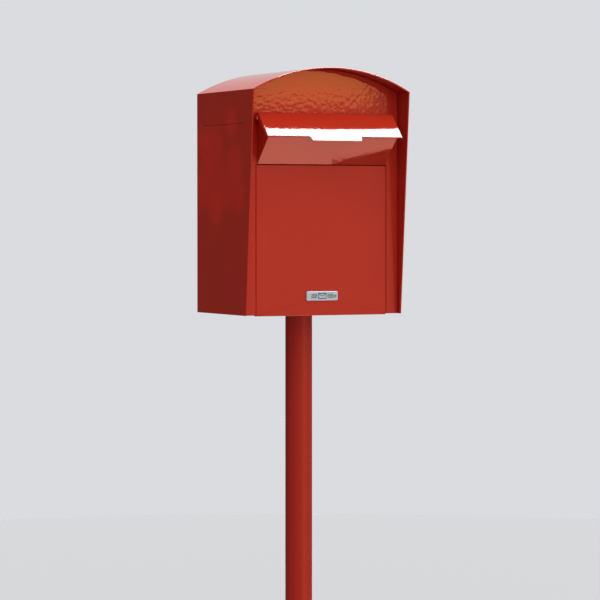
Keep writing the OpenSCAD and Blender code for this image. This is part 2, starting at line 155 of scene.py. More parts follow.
def folded(path, bend=1.9, thickness=SHEET, edge=EDGE):
    """The cut face of a folded sheet, as a closed outline: path is one face of the sheet, the other
    lies a thickness to its right, and each bend has the radius bend outside and a thickness less
    inside."""
    line = np.asarray(path, float)
    along = unit(np.diff(line, axis=0))
    right = np.stack([along[:, 1], -along[:, 0]], axis=1)
    first, second = right[:-1], right[1:]
    mitre = (first + second) / (1 + np.sum(first * second, axis=1, keepdims=True))
    other = line + thickness * np.concatenate([right[:1], mitre, right[-1:]])
    cross = along[:-1, 0] * along[1:, 1] - along[:-1, 1] * along[1:, 0]
    inner = max(bend - thickness, 0.2)
    radius = np.concatenate([[edge], np.where(cross > 0, inner, bend), [edge]])
    other_radius = np.concatenate([[edge], np.where(cross > 0, bend, inner), [edge]])
    return rounded(
        np.concatenate([line, other[::-1]]), np.concatenate([radius, other_radius[::-1]]), guard=0.1
    )


print("a rounded square has", len(rounded(rectangle(5, 0, 10), 2.0)), "points")

# %% [markdown]
# ## Rings into skins
#
# Nearly every piece is a stack of rings: an outline, drawn in by so much at such a depth, again
# and again. A flat plate is a stack with a small round at each face. A pan is a stack that turns
# back on itself at the end of its flange. A long profile is a plate whose thickness is its length.
# Modelling each by hand would give the same faces with no sizes left in them.

# %% Stacks of rings


def edge_section(length, radius=EDGE, rows=0, steps=4):
    """How far a ring is drawn in, and how deep it lies, through a slab with round edges: a quarter
    circle at each end, a guard ring on each face, and rows more rings between."""
    a = np.linspace(0, np.pi / 2, steps + 1)
    near = np.stack([radius * (1 - np.sin(a)), radius * (1 - np.cos(a))], axis=1)
    far = np.stack([near[::-1, 0], length - near[::-1, 1]], axis=1)
    between = np.linspace(radius + GUARD, length - radius - GUARD, rows + 2)
    middle = np.stack([np.zeros(rows + 2), between], axis=1)
    face = radius + GUARD
    return np.concatenate([[[face, 0]], near, middle, far, [[face, length]]])


def flange_section(depth, bend, thickness=SHEET, steps=5):
    """The same through a turned edge: round the outside of the bend, down the flange, round its cut
    edge, and back up inside."""
    a = np.linspace(0, np.pi / 2, steps + 1)
    inner = bend - thickness
    outside = np.stack([bend * (1 - np.sin(a)), bend * (1 - np.cos(a))], axis=1)
    inside = np.stack([inner * (1 - np.sin(a)), inner * (1 - np.cos(a))], axis=1) + thickness
    corner = np.array([[0, -EDGE], [0.3 * EDGE, -0.3 * EDGE], [EDGE, 0]])
    cut = np.concatenate([corner, corner[::-1] * [-1, 1] + [thickness, 0]]) + [0, depth]
    ends = [[bend + GUARD, 0]], [[bend + GUARD, thickness]]
    walls = [[0, bend + GUARD]], [[thickness, bend + GUARD]]
    return np.concatenate([ends[0], outside, walls[0], cut, walls[1], inside[::-1], ends[1]])


def stack(outline, section):
    """Rings of (across, up, depth): each is the outline moved in along its own outward direction
    by the section's first number, at the depth that is its second."""
    drawn_in = outline[None] - outward(outline)[None] * section[:, :1, None]
    depth = np.broadcast_to(section[:, 1:, None], drawn_in.shape[:2] + (1,))
    return np.concatenate([drawn_in, depth], axis=2)


def place(rings, origin, across, up, inward):
    """Each point is the origin, plus its three numbers along the three directions."""
    return np.asarray(origin, float) + rings @ np.array([across, up, inward], float)


def skin(rings, ends="cap"):
    """Four-sided faces from each ring to the next. Ends are capped with one polygon each, zipped
    with a row of four-sided faces where the ring is a thin sheet's outline, or joined in a loop."""
    rows, columns = rings.shape[:2]
    index = np.arange(rows * columns).reshape(rows, columns)
    beside = np.roll(index, -1, axis=1)
    following = [np.roll(numbers, -1, axis=0) for numbers in (beside, index)]
    joined = rows if ends == "loop" else rows - 1
    faces = np.stack([index, beside, *following], axis=-1)[:joined].reshape(-1, 4).tolist()
    if ends == "cap":
        faces += [index[0, ::-1].tolist(), index[-1].tolist()]
    if ends == "zip":
        half = columns // 2
        left, right = np.arange(half - 1), columns - 1 - np.arange(half - 1)
        strip = np.stack([left, left + 1, right - 1, right], axis=1)
        faces += index[0][strip][:, ::-1].tolist() + index[-1][strip].tolist()
    return rings.reshape(-1, 3), faces


X, Y, Z = np.eye(3)


def slab(outline, length, origin, across, up, inward, edge=EDGE, ends="cap"):
    """An outline carried straight along inward for its length, with a round at each end."""
    rings = stack(outline, edge_section(length, edge))
    return skin(place(rings, origin, across, up, inward), ends)


def revolved(profile, origin, axis, side, steps=64):
    """A closed profile of (distance from the axis, height along it) carried round the axis: each
    point goes round a circle of its own radius at its own height."""
    a = np.linspace(0, 2 * np.pi, steps, endpoint=False)
    third = np.cross(axis, side)
    ring = np.cos(a)[:, None] * np.asarray(side) + np.sin(a)[:, None] * third
    points = profile[:, :1, None] * ring[None] + profile[:, 1:, None] * np.asarray(axis)[None, None]
    return skin(points + np.asarray(origin, float), "loop")


PINHOLE = 0.02


def dome(radius, height, foot, steps=8):
    """Profile of a rivet or pin head: a quarter ellipse from crown to rim, and a flat foot. It
    stops a pinhole short of the axis, so that every face stays four-sided."""
    a = np.linspace(PINHOLE, np.pi / 2, steps)
    crown = np.stack([radius * np.sin(a), height * np.cos(a)], axis=1)
    return np.concatenate([crown, [[radius, -foot], [PINHOLE * radius, -foot]]])


print("rings at a cut edge", len(edge_section(SHEET)), "and a flange", len(flange_section(12, 2)))


# %% [markdown]
# ## Plates with a hole
#
# The front and the door each have an opening in the middle of a flat. A boolean would cut it, but
# it leaves long thin triangles. Seen from the middle of the hole, both the hole's rim and the
# plate's rim are met exactly once in every direction, so the flat between them can be one clean
# band of faces that runs straight out from rim to rim.

# %% Pierced plates


def leaves(outline, centre, angles):
    """Where rays from the centre leave a convex outline: each ray crosses one edge, and the place
    on it is where the two lines' equations agree."""
    start = outline - centre
    edge = np.roll(outline, -1, axis=0) - outline
    ray = np.stack([np.cos(angles), np.sin(angles)], axis=1)
    cross = ray[:, None, 0] * edge[None, :, 1] - ray[:, None, 1] * edge[None, :, 0]
    cross = np.where(np.abs(cross) < 1e-9, 1e-9, cross)
    reach = (start[None, :, 0] * edge[None, :, 1] - start[None, :, 1] * edge[None, :, 0]) / cross
    on_edge = (start[None, :, 0] * ray[:, None, 1] - start[None, :, 1] * ray[:, None, 0]) / cross
    hit = (on_edge > -1e-6) & (on_edge < 1 + 1e-6) & (reach > 0)
    return centre + ray * np.where(hit, reach, np.inf).min(axis=1)[:, None]


def rims(outer, hole, centre):
    """The plate's rim and the hole's rim, met in the same directions from the centre: those of
    every point of either outline."""
    spread = [np.arctan2(*(outline - centre).T[::-1]) for outline in (outer, hole)]
    angles = np.unique(np.round(np.concatenate(spread), 5))
    return leaves(outer, centre, angles), leaves(hole, centre, angles)


def pierced(outer, hole, centre, section, seam=None):
    """Rings for a plate with a hole, in one loop: up the hole's wall, out over the face, round the
    outer section and back behind. Points where seam holds keep to the plain outline and to the
    sheet's thickness, so another piece can go on from there without a line."""
    rim, opening = rims(outer, hole, np.asarray(centre, float))
    plain = np.zeros(len(rim), bool) if seam is None else seam(rim)
    rim_rings = stack(rim, section)
    rim_rings[:, plain, :2] = rim[plain]
    rim_rings[:, plain, 2] = np.minimum(rim_rings[:, plain, 2], SHEET)
    wall = edge_section(SHEET)[::-1] * [-1, 1]
    return np.concatenate([stack(opening, wall), rim_rings])


edge_point = leaves(circle((0, 0), 10.0), np.zeros(2), np.zeros(1))[0]
print(f"a ray along x leaves a circle of 10 mm at {edge_point[0]:.2f} mm")


# %% [markdown]
# ## Making a piece
#
# One helper turns surfaces into a Blender mesh: it joins them, merges points that fall together,
# turns the faces outward and shades them smooth except at hard edges. Every piece then rides on a
# CAD body, and the CAD nodes it stands for are hidden.

# %% From arrays to a piece
HARD_EDGE = np.radians(50)
MERGE, NO_LENGTH = 5e-6, 1e-6  # metres: points this close are one, edges this short are none


def moved_on(faces, start):
    """The same faces with each point's number raised by start, so that surfaces can be joined."""
    ends = np.cumsum([len(face) for face in faces])
    return [face.tolist() for face in np.split(np.concatenate(faces) + start, ends[:-1])]


def add_object(name, data, location=(0, 0, 0), turn=(0, 0, 0)):
    """An object in the scene, turned by three angles in degrees."""
    obj = bpy.data.objects.new(name, data)
    obj.location = location
    obj.rotation_euler = np.radians(turn)
    bpy.context.scene.collection.objects.link(obj)
    return obj


def make_piece(name, surfaces, material, body, stands_for=()):
    """One mesh from a list of (points in millimetres, faces)."""
    points = np.concatenate([p for p, _ in surfaces]) * MM
    starts = np.cumsum([0] + [len(p) for p, _ in surfaces])
    faces = []
    for start, (_, part) in zip(starts, surfaces):
        faces += moved_on(part, start)
    mesh = bpy.data.meshes.new(name)
    mesh.from_pydata(points, [], faces)
    work = bmesh.new()
    work.from_mesh(mesh)
    bmesh.ops.remove_doubles(work, verts=work.verts, dist=MERGE)
    bmesh.ops.dissolve_degenerate(work, edges=work.edges, dist=NO_LENGTH)
    bmesh.ops.recalc_face_normals(work, faces=work.faces)
    work.to_mesh(mesh)
    work.free()
    mesh.polygons.foreach_set("use_smooth", np.ones(len(mesh.polygons), bool))
    mesh.set_sharp_from_angle(angle=HARD_EDGE)
    mesh.materials.append(material)
    piece = add_object(name, mesh)
    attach(piece, body)
    if stands_for:
        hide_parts(*stands_for)
    print(f"{name}: {len(mesh.polygons)} faces")
    return piece


print(f"edges count as hard from {np.degrees(HARD_EDGE):.0f} degrees")


# %% [markdown]
# ## Colours and nodes
#
# Colours are written as the hex values a designer would read off a swatch, and one function turns
# them to the linear values Blender's shaders use. One small function adds a node with its
# settings and links.

# %% Colour and node helpers


def colour(hex_value):
    """sRGB hex to linear RGBA: each channel, as a share of 255, is raised by the sRGB curve."""
    channel = np.array([int(hex_value[i:i + 2], 16) for i in (1, 3, 5)]) / 255
    linear = np.where(channel <= 0.04045, channel / 12.92, ((channel + 0.055) / 1.055) ** 2.4)
    return (*linear.tolist(), 1.0)


def add(tree, kind, settings=None, links=None):
    """One node: settings go to its properties, or to its inputs where the key is an input's name
    or number, and links join the outputs of earlier nodes to its inputs."""
    node = tree.nodes.new("ShaderNode" + kind)
    for key, value in (settings or {}).items():
        if isinstance(key, str) and hasattr(node, key):
            setattr(node, key, value)
        else:
            node.inputs[key].default_value = value
    for key, output in (links or {}).items():
        tree.links.new(output, node.inputs[key])
    return node


def new_material(name):
    """An empty node material, and the Object coordinates that its patterns use."""
    material = bpy.data.materials.new(name)
    material.use_nodes = True
    tree = material.node_tree
    tree.nodes.clear()
    return material, tree, add(tree, "TexCoord").outputs["Object"]


print("mid grey in linear light", round(colour("#808080")[0], 3))


# %% [markdown]
# ## Gloss polyester powder coat
#
# The steel is sprayed with polyester powder and baked. It melts into a hard skin about 80 microns
# thick, as glossy as a boiled sweet, but never quite level: it keeps a gentle orange peel, waves
# of 5 to 12 mm only some microns high with finer ones on top, which makes reflections wobble. The
# bump heights below are given, and are the whole range of a noise that stays near its middle.
# The flap's coat is flatter, because the bright band in it runs nearly straight, and its red is a
# shade brighter and more orange than the body's, which is painted light for the light the tilted
# flap catches. The post's is a deeper, duller red. Car paint with flakes would be wrong here, and
# so would a bump that follows UVs, because the peel runs over every bend.

# %% Powder coat


CLOUD_MM, DULL_MM, PEEL_MM = 90.0, 20.0, 8.0
FINE_PEEL, FINE_SHARE = 3.3, 0.16  # finer waves: how many times as many, and how high beside it


def powder_coat(name, red, cloud, roughness, peel_um=95.0):
    """Powder coat: two hues clouded together, and orange peel from a coarse and a fine noise."""
    material, tree, at = new_material(name)
    cloudy = add(tree, "TexNoise",
                 {"Scale": 1000 / CLOUD_MM, "Detail": 2.0, "Roughness": 0.4}, {"Vector": at})
    tint = add(tree, "Mix", {"data_type": "RGBA", 6: colour(red), 7: colour(cloud)},
               {0: cloudy.outputs["Fac"]})
    grain = add(tree, "TexNoise", {"Scale": 1000 / DULL_MM, "Detail": 3.0},
                {"Vector": at})
    dull = add(tree, "MapRange",
               {"From Min": 0.3, "From Max": 0.7, "To Min": roughness, "To Max": roughness * 1.5},
               {"Value": grain.outputs["Fac"]})
    wave = add(tree, "TexNoise", {"Scale": 1000 / PEEL_MM, "Detail": 0.0}, {"Vector": at})
    ripple = add(tree, "TexNoise",
                 {"Scale": FINE_PEEL * 1000 / PEEL_MM, "Detail": 1.0}, {"Vector": at})
    coarse = add(tree, "Bump", {"Strength": 1.0, "Distance": peel_um * 1e-6},
                 {"Height": wave.outputs["Fac"]})
    fine = add(tree, "Bump", {"Strength": 1.0, "Distance": FINE_SHARE * peel_um * 1e-6},
               {"Height": ripple.outputs["Fac"], "Normal": coarse.outputs["Normal"]})
    coat = add(tree, "BsdfPrincipled", {"IOR": 1.52},
               {"Base Color": tint.outputs[2], "Roughness": dull.outputs["Result"],
                "Normal": fine.outputs["Normal"]})
    add(tree, "OutputMaterial", {}, {"Surface": coat.outputs["BSDF"]})
    return material


enamel = powder_coat("gloss_powder_coat", "#CB3522", "#C53020", 0.045)
# The flap's red is a shade brighter and more orange than the body's: painted light for the light
# the tilted flap catches. Its flatter peel is real.
flap_enamel_painted_lighter = powder_coat("flap_powder_coat_painted_lighter", "#CE3822", "#C83420", 0.045, peel_um=30.0)
post_enamel = powder_coat("post_powder_coat", "#BE3020", "#B82C1E", 0.07)
print("coats:", ", ".join(coat.name for coat in (enamel, flap_enamel_painted_lighter, post_enamel)))

# %% [markdown]
# ## Metals, rubber and nylon
#
# The rivets, the flap's pin and the lock are zinc plated or turned steel: plating leaves small
# crystals of slightly different grey, turning leaves fine lines round the axis. The lock cover is
# satin anodised aluminium, which is bead blasted first, so it is pale blue grey, soft in its
# gloss and faintly grainy. The seal and bumpers are EPDM rubber, dull and a little dusty, and the
# bushes are natural nylon, which lets light in below its surface. One noise drives colour, gloss
# and relief together, as a duller crystal of zinc is also a different grey. The anodised layer is
# clear but milky, so only a quarter of it shines as bare metal.

# %% Hardware finishes


def grained(name, light, dark, grain_mm, relief_um, roughness, body, detail=3.0,
            stretch=(1.0, 1.0, 1.0)):
    """A finish whose two colours, its range of roughness and its relief all follow one noise of
    the grain's size, stretched where the surface has a direction. Body is what kind of matter it
    is, in the shader's own terms."""
    material, tree, at = new_material(name)
    turned = add(tree, "Mapping", {"Scale": stretch}, {"Vector": at})
    grain = add(tree, "TexNoise", {"Scale": 1000 / grain_mm, "Detail": detail},
                {"Vector": turned.outputs["Vector"]})
    tint = add(tree, "Mix", {"data_type": "RGBA", 6: colour(light), 7: colour(dark)},
               {0: grain.outputs["Fac"]})
    dull = add(tree, "MapRange", {"From Min": 0.3, "From Max": 0.7,
                                            "To Min": roughness[0], "To Max": roughness[1]},
               {"Value": grain.outputs["Fac"]})
    relief = add(tree, "Bump", {"Strength": 1.0, "Distance": relief_um * 1e-6},
                 {"Height": grain.outputs["Fac"]})
    shader = add(tree, "BsdfPrincipled", body,
                 {"Base Color": tint.outputs[2], "Roughness": dull.outputs["Result"],
                  "Normal": relief.outputs["Normal"]})
    add(tree, "OutputMaterial", {}, {"Surface": shader.outputs["BSDF"]})
    return material


METAL = {"Metallic": 1.0}
MILKY_METAL = {"Metallic": 0.25}
LETS_LIGHT_IN = {"Subsurface Weight": 0.2, "Subsurface Scale": 0.002}
zinc = grained("zinc_plated_steel", "#D9DADC", "#A9ADB2", 1.6, 8, (0.24, 0.416), METAL, 4.0)
bright = grained("bright_turned_steel", "#E9EAEC", "#CFD1D4", 0.9, 8, (0.105, 0.182), METAL, 4.0,
                 (1.0, 4.0, 4.0))
anodised = grained("satin_anodised_aluminium", "#D8E4EF", "#CBD8E4", 0.7, 8, (0.315, 0.546),
                   MILKY_METAL, 4.0, (0.15, 1.0, 1.0))
rubber = grained("epdm_rubber", "#1B1B1C", "#2B2A29", 0.8, 20, (0.78, 0.78), {})
nylon = grained("natural_nylon", "#DAD8CC", "#CFCCBE", 1.5, 6, (0.42, 0.42), LETS_LIGHT_IN)
ink = grained("screen_print_ink", "#3E4F5E", "#4A5A68", 0.9, 2, (0.5, 0.5), {})
print("hardware:", ", ".join(m.name for m in (zinc, bright, anodised, rubber, nylon, ink)))

# %% [markdown]
# ## The sides
#
# Each side is one flat sheet. Its front edge leans forward towards the top and is hemmed: folded
# back flat on itself, so that the edge a hand meets is a 3 mm round and not a cut. A pressed bead
# runs along it under the eaves, to a rivet near the back. The sheet is a closed loop in plan,
# outer face, hem, inner face, and the loop changes with height: the hem follows the leaning edge,
# and the outer face dips where the bead is.

# %% Side panels
HEM_WIDTH = 9.0
WING_FOOT = 14.0
WING_LEAN = (front_y - WING_FOOT - roof_front) / (eaves - case_bottom)
RIVET_R = 4.5
BEAD_WIDTH, BEAD_DEPTH = 2.4, 1.25
BEAD_LOW = rivet_low[2] + RIVET_R - 0.5 * BEAD_WIDTH
BEAD_HIGH = BEAD_LOW + BEAD_WIDTH
BEAD_FRONT, BEAD_REAR = front_y - 1, back_y - 39


def side_surface(sign):
    """A point is (outer face - depth, y, z). Depth comes from the hemmed loop in plan, the loop's
    front is moved to the leaning edge, which runs straight from its foot to its top, and the bead
    adds a rounded dip across its width that fades in and out at its ends."""
    foot_y = front_y - WING_FOOT
    low, high = case_bottom, side_high[2] - 0.4
    a = np.linspace(0, np.pi / 2, 5)
    ends_in = EDGE * (1 - np.sin(a))
    rise = EDGE * (1 - np.cos(a))
    bead = np.linspace(BEAD_LOW - 0.5, BEAD_HIGH + 0.5, 15)
    z = np.concatenate([low + rise, [low + EDGE + GUARD, BEAD_LOW - 1.5], bead,
                        [BEAD_HIGH + 1.5, high - EDGE - GUARD], (high - rise)[::-1]])
    inset = np.concatenate([ends_in, np.zeros(len(bead) + 4), ends_in[::-1]])
    tip = np.linspace(0, np.pi, 13)
    hem_y = foot_y + HEM_WIDTH
    y_out = np.concatenate([[back_y - EDGE, back_y - EDGE - GUARD],
                            np.linspace(BEAD_REAR + 1, BEAD_REAR - 6, 6),
                            np.linspace(BEAD_FRONT + 6, BEAD_FRONT - 1, 6), [foot_y + 2.2]])
    y_in = [foot_y + 2.2, hem_y - 0.3, hem_y, hem_y + 0.1, hem_y + 0.5,
            back_y - EDGE - GUARD, back_y - EDGE, back_y]
    y = np.concatenate([[back_y], y_out, foot_y + SHEET - SHEET * np.sin(tip), y_in])
    depth_in = [2 * SHEET, 2 * SHEET, 2 * SHEET - 0.3, SHEET + 0.1, SHEET, SHEET, SHEET,
                SHEET - EDGE]
    depth = np.concatenate([[EDGE], np.zeros(len(y_out)), SHEET - SHEET * np.cos(tip), depth_in])
    moves = np.clip((back_y - 60 - y) / 10, 0, 1) * (y < hem_y + 1)
    lean = -WING_LEAN * (z - low)
    grid_y = y[None] + lean[:, None] * moves[None]
    fade = np.clip((y - BEAD_FRONT) / 5, 0, 1) * np.clip((BEAD_REAR - y) / 5, 0, 1) * (depth < 0.01)
    bead_middle, bead_reach = 0.5 * (BEAD_LOW + BEAD_HIGH), 0.5 * (BEAD_HIGH - BEAD_LOW) + 0.3
    across = np.clip(1 - np.abs(z - bead_middle) / bead_reach, 0, 1)
    dip = BEAD_DEPTH * np.sin(np.pi / 2 * across) ** 0.7
    shrink = inset[:, None] * np.where(depth < SHEET * 0.6, 1, -1)[None]
    grid_x = case_half - depth[None] - dip[:, None] * fade[None] - shrink
    grid_z = np.broadcast_to(z[:, None], grid_y.shape)
    return skin(np.stack([sign * grid_x, grid_y, grid_z], axis=-1))


for label, sign in (("left", -1), ("right", 1)):
    make_piece(f"{label}_side", [side_surface(sign)], enamel, "case",
               [f"{label}_side_panel"])

# %% [markdown]
# ## The roof
#
# The roof is a strip bent to an arch, with its front edge turned down as a drip. Its cut face is
# a folded outline in depth and length. That is carried straight across the case and then wrapped
# onto the arch, so that the drip follows the curve as it does on the real press.

# %% Roof
HEM_DEPTH = 3.2


def roof_surface():
    """Across the case x runs straight. A point at depth d lies on a circle of radius arch minus d,
    so its height is the arch's centre plus the root of that radius squared less x squared. The
    front edge leans with the wings' edges: it comes forward by the same share of its height."""
    outline = folded([(back_y, 0), (roof_front, 0), (roof_front, HEM_DEPTH)], bend=2.0)
    rings = stack(outline, edge_section(2 * case_half, rows=90))
    y, depth, x = rings[..., 0], rings[..., 1], rings[..., 2] - case_half
    drip = np.clip((depth - SHEET) / 1.0, 0, 1)
    x = x * (1 - drip * (1 - (inner_half - SHEET - 0.3) / case_half))
    z = arch_centre + np.sqrt((arch_r - depth) ** 2 - x**2)
    y = y - WING_LEAN * np.clip(z - eaves, 0, None) * np.clip((roof_front + 50 - y) / 40, 0, 1)
    return skin(np.stack([x, y, z], axis=-1), "zip")


make_piece("arched_roof", [roof_surface()], enamel, "case", ["roof"])

# %% [markdown]
# ## The front
#
# One sheet makes the two stiles beside the door and the arched panel above it. Its outer edges
# are turned back inside the wings with a generous bend, which is what draws the dark line between
# front and wing. The arched part is a pierced plate round the letter throat. The stiles go on
# below it as folded profiles: round the outer bend, across the face, round into the door opening,
# and in again as the lip that the door shuts against. The door is drawn a little larger than the
# frame's own, which leaves seams as thin as good sheet work has.

# %% Front frame
OPENING_TOP = door_high[2] + 3.5
SEAM = 0.6
DOOR_MORE, DOOR_TALLER = 0.45, 1.8
OPENING_HALF = door_high[0] + DOOR_MORE + SEAM
THROAT_HALF, THROAT_LOW, THROAT_HIGH = 145.0, OPENING_TOP + 8.5, OPENING_TOP + 88.5
FRONT_BEND, FRONT_FLANGE, DOOR_LIP = 2.6, 15.0, 11.0
STOP_Y = front_y + 13.5


def arched_outline(half, low, radius, steps=40):
    """Straight sides up from the low corners, and an arc of the roof's centre over the top."""
    x = np.linspace(half, -half, steps)
    top = np.stack([x, arch_centre + np.sqrt(radius**2 - x**2)], axis=1)
    z_side = np.linspace(low + 0.2, top[0, 1], 12)[:-1]
    right = np.stack([np.full(len(z_side), half), z_side], axis=1)
    foot_x = np.linspace(-half, half, 30)
    foot = np.stack([foot_x, np.full(len(foot_x), low)], axis=1)
    return np.concatenate([foot, right, top, right[::-1] * [-1, 1]])


def front_surfaces():
    """The pierced arched plate and the two stiles."""
    half = inner_half - 0.1
    outer = arched_outline(half, OPENING_TOP, arch_r - SHEET - 0.1)
    hole = rounded(rectangle(THROAT_HALF, THROAT_LOW, THROAT_HIGH), 8.0)
    middle = (0, 0.5 * (THROAT_LOW + THROAT_HIGH))
    section = flange_section(FRONT_FLANGE, FRONT_BEND)
    upper = pierced(outer, hole, middle, section, lambda rim: rim[:, 1] < OPENING_TOP + 0.1)
    surfaces = [skin(place(upper, (0, front_y, 0), X, Z, Y), "loop")]
    stile = np.array([(half, front_y + FRONT_FLANGE), (half, front_y), (OPENING_HALF, front_y),
                      (OPENING_HALF, STOP_Y + SHEET), (OPENING_HALF - DOOR_LIP, STOP_Y + SHEET)])
    height = OPENING_TOP - case_bottom + EDGE
    for sign in (-1, 1):
        profile = folded((stile * [sign, 1])[::sign], bend=1.7)
        surfaces.append(slab(profile, height, (0, 0, case_bottom), X, Y, Z))
    return surfaces


front_sheet = make_piece("front_sheet", front_surfaces(), enamel, "case", ["front_frame"])

# %% [markdown]
# ## The back
#
# The back is a flat arched plate between the sides, with a strip turned forward along each side
# for the rivets.

# %% Back panel


def back_surfaces():
    """The arched plate, and a flat strip along each side inside the case."""
    half = inner_half - 0.1
    outline = arched_outline(half, case_bottom, arch_r - SHEET - 0.1)
    surfaces = [slab(outline, SHEET, (0, back_y, 0), X, Z, -Y, edge=0.5)]
    strip = rounded([(back_y - SHEET, case_bottom + 17), (back_y - SHEET, eaves - 20),
                     (back_y - 35, eaves - 20), (back_y - 35, case_bottom + 17)], 4.0)
    for sign in (-1, 1):
        surfaces.append(slab(strip, SHEET, (sign * half, 0, 0), Y, Z, -sign * X))
    return surfaces


make_piece("back_sheet", back_surfaces(), enamel, "case", ["back_panel"])

# %% [markdown]
# ## The letter chute
#
# The chute is the ledge that letters slide in over. Its floor rises at 45 degrees from the top of
# the door opening, folds back at its nose into a lip, and has a cheek at each end that carries the
# flap's pin.

# %% Letter chute
pivot = 0.5 * (pin_low + pin_high)[1:]
flap_turn = np.radians(43.6)
down = np.array([-np.sin(flap_turn), -np.cos(flap_turn)])
out = np.array([-np.cos(flap_turn), np.sin(flap_turn)])
ROLL_R = 11.5
LIP_GAP, FLAP_PAST, CHUTE_LIP = 9.0, 7.9, 12.0
chute_half = chute_high[0]
chute_foot = np.array([front_y, OPENING_TOP])
flap_top = pivot + ROLL_R * out
chute_reach = ((flap_top - chute_foot) @ out - LIP_GAP) / (np.cos(flap_turn) + np.sin(flap_turn))
chute_nose = chute_foot + chute_reach * np.array([-1, 1])
print(f"chute reaches {chute_reach:.1f} mm, flap pivots at {pivot[0]:.1f}, {pivot[1]:.1f} mm")


def chute_surfaces():
    """The folded trough carried across, and the two cheeks."""
    trough = folded([chute_foot, chute_nose, chute_nose - CHUTE_LIP * down], bend=2.0)
    surfaces = [slab(trough, 2 * chute_half, (-chute_half, 0, 0), Y, Z, X, edge=0.6, ends="zip")]
    wall_top = pivot[1] - 18
    cheek = rounded([chute_foot, chute_nose, pivot + [-9.0, 7.0], pivot + [8.0, 6.5],
                     pivot + [3, -13], (front_y, wall_top)], [0.4, 2.0, 7.0, 6.0, 4.0, 0.4])
    for sign in (-1, 1):
        surfaces.append(slab(cheek, SHEET, (sign * chute_half, 0, 0), Y, Z, -sign * X, edge=0.6))
    return surfaces


make_piece("chute", chute_surfaces(), enamel, "case", ["letter_chute"])

# %% [markdown]
# ## The letter flap
#
# The flap is the piece that catches the light. It is one sheet: a flat, with its ends turned in
# for stiffness, its top edge rolled over the pin, and a finger tab left standing from its lower
# edge. All of it is one cut face, a shallow channel, carried from the nose up the flat and round
# the roll. The turned ends grow and shrink on the way, and near the nose each line of the sheet
# runs on by the tab's own outline.

# %% Letter flap
flap_half = flap_high[0]
flap_len = (chute_nose - flap_top) @ down + FLAP_PAST
TAB_LEN, TAB_HALF, TAB_TAPER = 13.0, 62.0, 3.0
EAR = 10.0
FLAP_BEND = 2.2


def roll_direction(turn):
    """The outward direction of the sheet after it has turned by this much over the pin."""
    angle = np.pi - flap_turn - turn
    return np.cos(angle), np.sin(angle)


def flap_surface():
    """A station s lies up the flat from the nose, then round the roll by (s - flat) / radius. A
    point is its station's place on the outer face, less its depth along the outward direction.
    The tab takes the station of each line beyond the nose by its length at that x, and has extra
    lines where it begins and ends."""
    ends_in = [(-flap_half, EAR), (-flap_half, 0), (flap_half, 0), (flap_half, EAR)]
    channel = folded(ends_in[::-1], FLAP_BEND)
    mark = TAB_HALF - TAB_TAPER * np.array([-0.3, 0, 0.1, 0.5, 0.72, 1.0, 1.06, 1.3])
    stops = np.concatenate([-mark, mark[::-1]])
    jump = np.where(np.abs(np.diff(channel[:, 0])) > flap_half)[0]
    for i in jump[::-1]:
        sense = np.sign(channel[i + 1, 0] - channel[i, 0])
        rows = np.stack([sense * stops, np.full(len(stops), channel[i, 1])], axis=1)
        channel = np.insert(channel, i + 1, rows, axis=0)
    roll_turn = flap_turn + np.pi / 2
    roll_len = ROLL_R * roll_turn
    a = np.linspace(0, np.pi / 2, 5)
    nose_s, nose_in = EDGE * (1 - np.cos(a)), EDGE * (1 - np.sin(a))
    flat_s = np.array([1.2, 3.0, *range(9, 55, 9), flap_len - 4, flap_len - GUARD, flap_len])
    roll_s = flap_len + roll_len * np.linspace(0, 1, 20)[1:-1]
    s = np.concatenate([nose_s, flat_s, roll_s, (flap_len + roll_len - nose_s)[::-1]])
    inset = np.concatenate([nose_in, np.zeros(len(flat_s) + len(roll_s)), nose_in[::-1]])
    rings = stack(channel, np.stack([inset, s], axis=1))
    x, depth, station = rings[..., 0], rings[..., 1], rings[..., 2]
    knee = FLAP_BEND + 0.2
    grow = np.interp(s, [0, 27, 54, flap_len + 4], [4.0, EAR, 13.0, ROLL_R - 0.3])[:, None]
    depth = np.where(depth > knee, knee + (depth - knee) * (grow - knee) / (EAR - knee), depth)
    tab = TAB_LEN * np.clip((TAB_HALF - np.abs(x)) / TAB_TAPER, 0, 1) ** 0.6
    station = station - tab * np.clip(1 - (station - EDGE) / 1.5, 0, 1) * (station < 2.5)
    turn = np.clip((station - flap_len) / ROLL_R, 0, None)
    on_flat = np.clip(flap_len - station, 0, None)
    y = pivot[0] + (ROLL_R - depth) * roll_direction(turn)[0] + on_flat * down[0]
    z = pivot[1] + (ROLL_R - depth) * roll_direction(turn)[1] + on_flat * down[1]
    return skin(np.stack([x, y, z], axis=-1), "zip")


make_piece("flap", [flap_surface()], flap_enamel_painted_lighter, "flap", ["letter_flap"])

# %% [markdown]
# ## The door
#
# The door is a shallow pan with its four edges turned back 12 mm. It hangs on two hidden pins
# near its top corners. It is one pierced plate round the hole for the lock, so that its wide flat
# has no stray edges to catch the reflections.

# %% Door
DOOR_FLANGE, DOOR_BEND, LOCK_HOLE_R = 11.9, 1.6, 8.02
cover_half, cover_middle = 0.5 * (cover_high - cover_low), 0.5 * (cover_low + cover_high)
lock = (0, cover_middle[2])


def door_surface():
    """The pan: a rounded rectangle with a flange section, pierced for the lock's barrel."""
    half, top = door_high[0] + DOOR_MORE, door_high[2] + DOOR_TALLER
    outer = rounded(rectangle(half, door_low[2], top), 2.5)
    section = flange_section(DOOR_FLANGE, DOOR_BEND)
    rings = pierced(outer, circle(lock, LOCK_HOLE_R), lock, section)
    return skin(place(rings, (0, front_y, 0), X, Z, Y), "loop")


make_piece("door", [door_surface()], enamel, "door", ["door_panel"])
